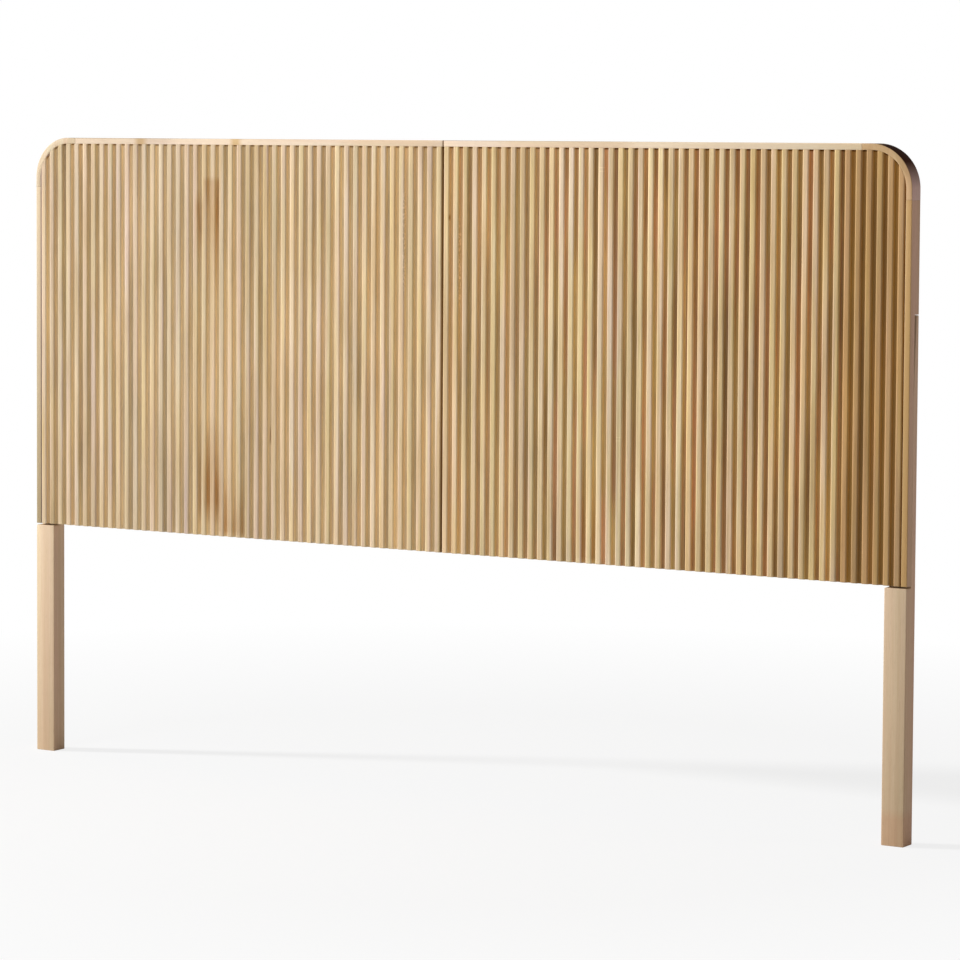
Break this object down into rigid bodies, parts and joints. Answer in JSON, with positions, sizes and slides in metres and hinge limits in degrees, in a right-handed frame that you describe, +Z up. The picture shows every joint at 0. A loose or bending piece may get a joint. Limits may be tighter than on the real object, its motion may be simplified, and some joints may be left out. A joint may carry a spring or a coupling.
{
  "type": "headboard",
  "caption": "Free-standing wooden headboard with vertically reeded boards meeting at a centre seam, a thin rim with rounded top corners and plain square legs lapped behind.",
  "frame": {"origin": "on the floor, under the centre seam and halfway through the depth", "axes": "+X to the viewer's right when the reeded front is seen, +Y from the front to the back, +Z up"},
  "size_m": [1.668, 0.03, 1.068],
  "materials": {
    "reeded_board": "light hardwood staves, clear matt finish",
    "rim_wood": "pale hardwood lipping, clear matt finish",
    "leg_wood": "light hardwood, clear matt finish",
    "frame_wood": "plain sanded hardwood",
    "dowel_wood": "plain beech dowel",
    "zinc_steel": "bright zinc plate"
  },
  "bodies": {
    "root": {"left_bottom_rail": "frame_wood", "left_centre_stile": "frame_wood", "left_leg": "leg_wood", "left_middle_rail": "frame_wood", "left_rim_corner": "rim_wood", "left_rim_side": "rim_wood", "left_rim_top": "rim_wood", "left_stave_1": "reeded_board", "left_stave_2": "reeded_board", "left_stave_3": "reeded_board", "left_stave_4": "reeded_board", "left_stave_5": "reeded_board", "left_top_rail": "frame_wood", "leg_bolts": "zinc_steel", "leg_inserts": "zinc_steel", "leg_washers": "zinc_steel", "rail_screws": "zinc_steel", "right_bottom_rail": "frame_wood", "right_centre_stile": "frame_wood", "right_leg": "leg_wood", "right_middle_rail": "frame_wood", "right_rim_corner": "rim_wood", "right_rim_side": "rim_wood", "right_rim_top": "rim_wood", "right_stave_1": "reeded_board", "right_stave_2": "reeded_board", "right_stave_3": "reeded_board", "right_stave_4": "reeded_board", "right_stave_5": "reeded_board", "right_stave_6": "reeded_board", "right_top_rail": "frame_wood", "seam_bolts": "zinc_steel", "seam_dowels": "dowel_wood", "seam_sleeve_nuts": "zinc_steel"}
  },
  "joints": []
}
